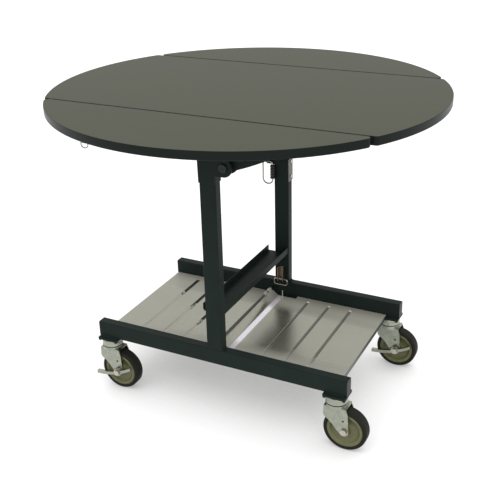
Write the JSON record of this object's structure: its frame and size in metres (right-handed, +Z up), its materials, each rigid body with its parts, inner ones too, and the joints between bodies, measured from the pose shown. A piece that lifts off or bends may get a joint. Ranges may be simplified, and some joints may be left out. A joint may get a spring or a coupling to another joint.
{
  "type": "folding room service table",
  "caption": "Round wheeled room service table with hinged drop leaves, a tilting top on twin posts, a folding two-panel shelf between side rails, and swivel casters with foot brakes.",
  "frame": {"origin": "on the floor, straight below the centre of the round top", "axes": "+Z up, +X along the rails towards the side that the tilt axis lies on, +Y towards the post that carries the catches"},
  "size_m": [0.914, 0.9138, 0.76],
  "materials": {
    "black_paint": "black powder coat, satin",
    "black_plastic": "black moulded plastic",
    "laminate": "olive-grey laminate on particle board",
    "edge_moulding": "black vinyl edge moulding",
    "zinc": "zinc plate",
    "shelf_steel": "grey satin sheet steel",
    "dark_steel": "dark drawn steel wire, rod and bolts",
    "passivated": "yellow passivated steel",
    "rubber": "black rubber",
    "tyre": "dark grey tyre rubber",
    "hub": "olive moulded hub"
  },
  "bodies": {
    "frame": {"rail_front": "black_paint", "rail_rear": "black_paint", "rail_end_caps": "black_plastic", "mounting_plates": "black_paint", "caster_races": "zinc", "king_pins": "zinc", "race_balls": "zinc", "post_front": "black_paint", "post_rear": "black_paint", "cross_channel": "black_paint", "head_front": "black_paint", "head_rear": "black_paint", "rest_pads": "rubber", "tilt_pins": "dark_steel", "shelf_rod": "dark_steel", "rod_brackets": "black_paint", "shelf_rests": "black_paint", "hook_bracket": "passivated", "catch_bracket": "zinc"},
    "top": {"center_board": "laminate", "center_edging": "edge_moulding", "tilt_arm_front": "black_paint", "tilt_arm_rear": "black_paint", "crossbars": "black_paint", "center_hinge_plates": "zinc", "hinge_pins": "zinc", "frame_screws": "zinc"},
    "front_leaf": {"front_leaf_board": "laminate", "front_leaf_edging": "edge_moulding", "front_hinge_plates": "zinc", "pull_clip": "zinc"},
    "rear_leaf": {"rear_leaf_board": "laminate", "rear_leaf_edging": "edge_moulding", "rear_hinge_plates": "zinc"},
    "leaf_pull": {"pull_ring": "zinc"},
    "left_shelf": {"shelf_left": "shelf_steel", "shelf_left_knuckles": "shelf_steel"},
    "right_shelf": {"shelf_right": "shelf_steel", "shelf_right_knuckles": "shelf_steel"},
    "hook": {"hook_loop": "zinc"},
    "bail": {"catch_bail": "dark_steel", "catch_grip": "rubber"},
    "swivel_front_left": {"fork_front_left": "zinc", "axle_front_left": "zinc"},
    "wheel_front_left": {"hub_front_left": "hub", "tyre_front_left": "tyre"},
    "swivel_front_right": {"fork_front_right": "zinc", "axle_front_right": "zinc"},
    "wheel_front_right": {"hub_front_right": "hub", "tyre_front_right": "tyre"},
    "swivel_rear_left": {"fork_rear_left": "zinc", "axle_rear_left": "zinc"},
    "wheel_rear_left": {"hub_rear_left": "hub", "tyre_rear_left": "tyre"},
    "swivel_rear_right": {"fork_rear_right": "zinc", "axle_rear_right": "zinc"},
    "wheel_rear_right": {"hub_rear_right": "hub", "tyre_rear_right": "tyre"},
    "lever_front_left": {"brake_front_left": "zinc"},
    "lever_rear_right": {"brake_rear_right": "zinc"}
  },
  "joints": [
    {"name": "top_tilt", "type": "hinge", "parent": "frame", "child": "top", "pos_m": [0.042, 0, 0.641], "axis": [0, 1, 0], "range_deg": [0, 90]},
    {"name": "front_leaf_fold", "type": "hinge", "parent": "top", "child": "front_leaf", "pos_m": [0, -0.242, 0.737], "axis": [1, 0, 0], "range_deg": [0, 90]},
    {"name": "rear_leaf_fold", "type": "hinge", "parent": "top", "child": "rear_leaf", "pos_m": [0, 0.242, 0.737], "axis": [-1, 0, 0], "range_deg": [0, 90]},
    {"name": "leaf_pull_swing", "type": "hinge", "parent": "front_leaf", "child": "leaf_pull", "pos_m": [-0.15, -0.42, 0.73825], "axis": [-1, 0, 0], "range_deg": [-80, 80]},
    {"name": "left_shelf_fold", "type": "hinge", "parent": "frame", "child": "left_shelf", "pos_m": [-0.025, 0, 0.163], "axis": [0, 1, 0], "range_deg": [0, 84]},
    {"name": "right_shelf_fold", "type": "hinge", "parent": "frame", "child": "right_shelf", "pos_m": [-0.025, 0, 0.163], "axis": [0, -1, 0], "range_deg": [0, 75]},
    {"name": "hook_swing", "type": "hinge", "parent": "frame", "child": "hook", "pos_m": [0, 0.174, 0.193], "axis": [-1, 0, 0], "range_deg": [0, 15]},
    {"name": "bail_swing", "type": "hinge", "parent": "frame", "child": "bail", "pos_m": [-0.0345, 0.1745, 0.526], "axis": [-1, 0, 0], "range_deg": [0, 90]},
    {"name": "swivel_front_left", "type": "hinge", "parent": "frame", "child": "swivel_front_left", "pos_m": [-0.304, -0.194, 0.11], "axis": [0, 0, 1], "continuous": true},
    {"name": "spin_front_left", "type": "hinge", "parent": "swivel_front_left", "child": "wheel_front_left", "pos_m": [-0.2795, -0.194, 0.0525], "axis": [0, 1, 0], "continuous": true},
    {"name": "swivel_front_right", "type": "hinge", "parent": "frame", "child": "swivel_front_right", "pos_m": [0.304, -0.194, 0.11], "axis": [0, 0, 1], "continuous": true},
    {"name": "spin_front_right", "type": "hinge", "parent": "swivel_front_right", "child": "wheel_front_right", "pos_m": [0.3285, -0.194, 0.0525], "axis": [0, 1, 0], "continuous": true},
    {"name": "swivel_rear_left", "type": "hinge", "parent": "frame", "child": "swivel_rear_left", "pos_m": [-0.304, 0.194, 0.11], "axis": [0, 0, 1], "continuous": true},
    {"name": "spin_rear_left", "type": "hinge", "parent": "swivel_rear_left", "child": "wheel_rear_left", "pos_m": [-0.2795, 0.194, 0.0525], "axis": [0, 1, 0], "continuous": true},
    {"name": "swivel_rear_right", "type": "hinge", "parent": "frame", "child": "swivel_rear_right", "pos_m": [0.304, 0.194, 0.11], "axis": [0, 0, 1], "continuous": true},
    {"name": "spin_rear_right", "type": "hinge", "parent": "swivel_rear_right", "child": "wheel_rear_right", "pos_m": [0.3285, 0.194, 0.0525], "axis": [0, 1, 0], "continuous": true},
    {"name": "brake_front_left", "type": "hinge", "parent": "swivel_front_left", "child": "lever_front_left", "pos_m": [-0.2795, -0.194, 0.0525], "axis": [0, -1, 0], "range_deg": [0, 20]},
    {"name": "brake_rear_right", "type": "hinge", "parent": "swivel_rear_right", "child": "lever_rear_right", "pos_m": [0.3285, 0.194, 0.0525], "axis": [0, -1, 0], "range_deg": [0, 20]}
  ]
}
